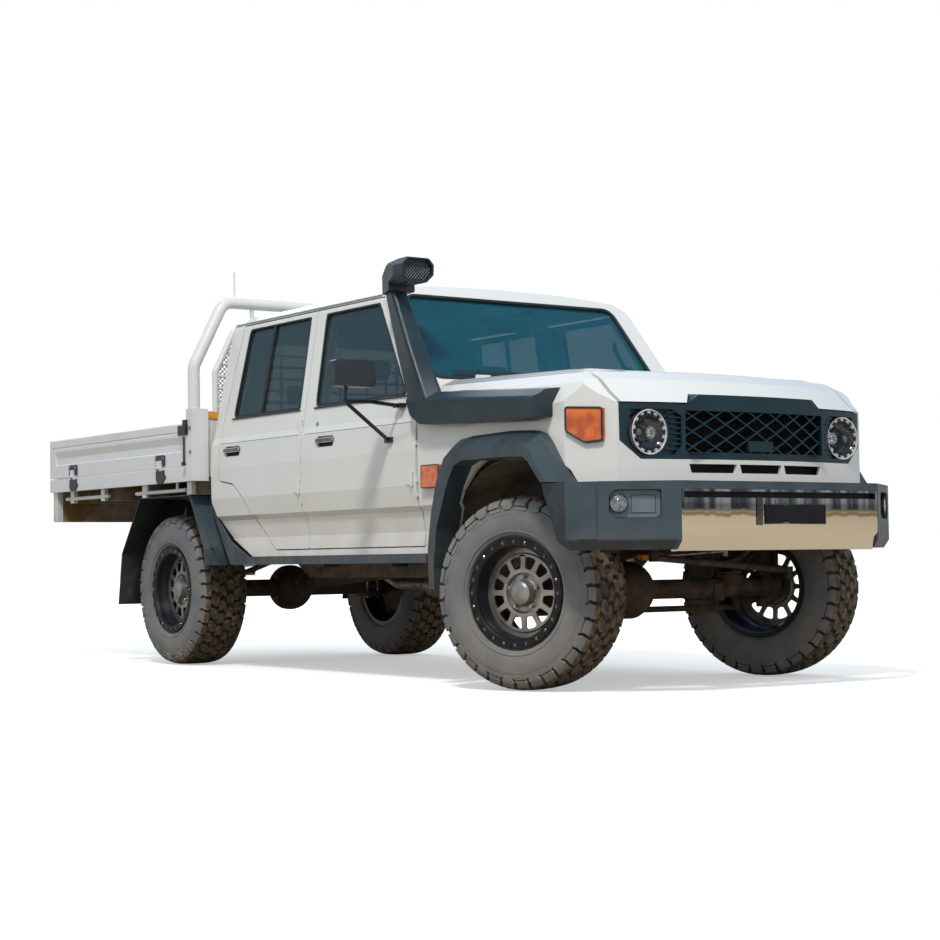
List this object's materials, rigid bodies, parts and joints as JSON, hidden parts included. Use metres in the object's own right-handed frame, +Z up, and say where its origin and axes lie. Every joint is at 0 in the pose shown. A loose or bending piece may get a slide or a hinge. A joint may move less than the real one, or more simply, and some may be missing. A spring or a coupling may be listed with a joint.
{
  "type": "lifted off-road double-cab 4x4 with a drop-side tray",
  "caption": "Lifted double-cab 4x4 with steering front wheels, opening doors, hinged bonnet, drop-side tray, headboard and a raised air intake.",
  "frame": {"origin": "on the ground under the middle of the vehicle's bounding box", "axes": "+X to the vehicle's own left, +Y towards the tail, +Z up; the nose points to -Y"},
  "size_m": [2.45, 5.453, 2.1399],
  "materials": {
    "body_white": "gloss",
    "trim_black": "matt",
    "bumper_grey": "matt",
    "liner_beige": "dusty",
    "chassis_black": "satin",
    "axle_dirty": "dirty",
    "steel": "brushed",
    "bright_band": "polished",
    "wheel_gunmetal": "satin",
    "tyre": "dusty",
    "glass": "tinted",
    "lamp": "clear",
    "amber": "gloss",
    "seat_cloth": "woven",
    "dash_grey": "matt",
    "engine_grey": "cast"
  },
  "bodies": {
    "vehicle": {"chassis_frame": "chassis_black", "cab_shell": "body_white", "roof": "body_white", "front_guards": "body_white", "front_panel": "body_white", "grille": "trim_black", "headlamps": "lamp", "signal_lamps": "amber", "front_bumper": "bumper_grey", "bumper_band": "bright_band", "front_flares": "bumper_grey", "arch_liners": "liner_beige", "snorkel": "trim_black", "fixed_glass": "glass", "dashboard": "dash_grey", "seats": "seat_cloth", "engine": "engine_grey", "driveline": "engine_grey", "exhaust": "steel", "suspension": "chassis_black", "front_axle": "axle_dirty", "rear_axle": "axle_dirty", "side_steps": "trim_black", "rear_mudguards": "trim_black", "tray_deck": "body_white", "headboard": "body_white"},
    "bonnet": {"bonnet": "body_white"},
    "tail_gate": {"tail_gate": "body_white"},
    "steering_wheel": {"steering_wheel": "dash_grey"},
    "pitman_arm": {"pitman_arm": "steel"},
    "drag_link": {"drag_link": "steel"},
    "tie_rod": {"tie_rod": "steel"},
    "door_front_left": {"door_front_left": "body_white", "glass_front_left": "glass", "mirror_left": "trim_black"},
    "door_rear_left": {"door_rear_left": "body_white", "glass_rear_left": "glass"},
    "side_gate_left": {"side_gate_left": "body_white"},
    "knuckle_left": {"knuckle_left": "axle_dirty"},
    "wheel_front_left": {"rim_front_left": "wheel_gunmetal", "tyre_front_left": "tyre"},
    "wheel_rear_left": {"rim_rear_left": "wheel_gunmetal", "tyre_rear_left": "tyre"},
    "door_front_right": {"door_front_right": "body_white", "glass_front_right": "glass", "mirror_right": "trim_black"},
    "door_rear_right": {"door_rear_right": "body_white", "glass_rear_right": "glass"},
    "side_gate_right": {"side_gate_right": "body_white"},
    "knuckle_right": {"knuckle_right": "axle_dirty"},
    "wheel_front_right": {"rim_front_right": "wheel_gunmetal", "tyre_front_right": "tyre"},
    "wheel_rear_right": {"rim_rear_right": "wheel_gunmetal", "tyre_rear_right": "tyre"}
  },
  "joints": [
    {"name": "bonnet_lid", "type": "hinge", "parent": "vehicle", "child": "bonnet", "pos_m": [0, -1.2685, 1.41], "axis": [-1, 0, 0], "range_deg": [0, 50]},
    {"name": "door_front_left", "type": "hinge", "parent": "vehicle", "child": "door_front_left", "pos_m": [0.85, -1.2215, 0.9], "axis": [0, 0, -1], "range_deg": [0, 65]},
    {"name": "door_rear_left", "type": "hinge", "parent": "vehicle", "child": "door_rear_left", "pos_m": [0.85, -0.1865, 0.9], "axis": [0, 0, -1], "range_deg": [0, 65]},
    {"name": "side_gate_left", "type": "hinge", "parent": "vehicle", "child": "side_gate_left", "pos_m": [0.942, 1.7785, 1.084], "axis": [0, 1, 0], "range_deg": [0, 178]},
    {"name": "door_front_right", "type": "hinge", "parent": "vehicle", "child": "door_front_right", "pos_m": [-0.85, -1.2215, 0.9], "axis": [0, 0, 1], "range_deg": [0, 65]},
    {"name": "door_rear_right", "type": "hinge", "parent": "vehicle", "child": "door_rear_right", "pos_m": [-0.85, -0.1865, 0.9], "axis": [0, 0, 1], "range_deg": [0, 65]},
    {"name": "side_gate_right", "type": "hinge", "parent": "vehicle", "child": "side_gate_right", "pos_m": [-0.942, 1.7785, 1.084], "axis": [0, -1, 0], "range_deg": [0, 178]},
    {"name": "tail_gate", "type": "hinge", "parent": "vehicle", "child": "tail_gate", "pos_m": [0, 2.7205, 1.084], "axis": [-1, 0, 0], "range_deg": [0, 178]},
    {"name": "steer_right", "type": "hinge", "parent": "vehicle", "child": "knuckle_right", "pos_m": [-0.65, -1.8815, 0.415], "axis": [0, 0, 1], "range_deg": [-52.5, 13.5]},
    {"name": "steer_left", "type": "hinge", "parent": "vehicle", "child": "knuckle_left", "pos_m": [0.65, -1.8815, 0.415], "axis": [0, 0, 1], "range_deg": [-52.5, 13.5]},
    {"name": "wheel_front_left", "type": "hinge", "parent": "knuckle_left", "child": "wheel_front_left", "pos_m": [0.71598, -1.85813, 0.415], "axis": [0.9426, 0.3338, 0], "continuous": true},
    {"name": "wheel_rear_left", "type": "hinge", "parent": "vehicle", "child": "wheel_rear_left", "pos_m": [0.69, 1.2985, 0.415], "axis": [1, 0, 0], "continuous": true},
    {"name": "wheel_front_right", "type": "hinge", "parent": "knuckle_right", "child": "wheel_front_right", "pos_m": [-0.71598, -1.90487, 0.415], "axis": [0.9426, 0.3338, 0], "continuous": true},
    {"name": "wheel_rear_right", "type": "hinge", "parent": "vehicle", "child": "wheel_rear_right", "pos_m": [-0.69, 1.2985, 0.415], "axis": [1, 0, 0], "continuous": true},
    {"name": "tie_rod_turn", "type": "hinge", "parent": "knuckle_right", "child": "tie_rod", "pos_m": [-0.69607, -1.75142, 0.335], "axis": [0, 0, 1], "range_deg": [-13.5, 52.5]},
    {"name": "pitman_turn", "type": "hinge", "parent": "vehicle", "child": "pitman_arm", "pos_m": [-0.262, -2.0065, 0.572], "axis": [0, 0, 1], "range_deg": [-52.5, 13.5]},
    {"name": "drag_link_turn", "type": "hinge", "parent": "pitman_arm", "child": "drag_link", "pos_m": [-0.28487, -2.20555, 0.572], "axis": [0, 0, 1], "range_deg": [-13.5, 52.5]},
    {"name": "steering_wheel_turn", "type": "hinge", "parent": "vehicle", "child": "steering_wheel", "pos_m": [-0.37, -0.8715, 1.15], "axis": [0, 0.866, 0.5], "range_deg": [-840, 216]}
  ],
  "couplings": [
    {"joint": "steer_left", "follows": "steer_right", "ratio": 1},
    {"joint": "tie_rod_turn", "follows": "steer_right", "ratio": -1},
    {"joint": "pitman_turn", "follows": "steer_right", "ratio": 1},
    {"joint": "drag_link_turn", "follows": "steer_right", "ratio": -1},
    {"joint": "steering_wheel_turn", "follows": "steer_right", "ratio": 16}
  ]
}
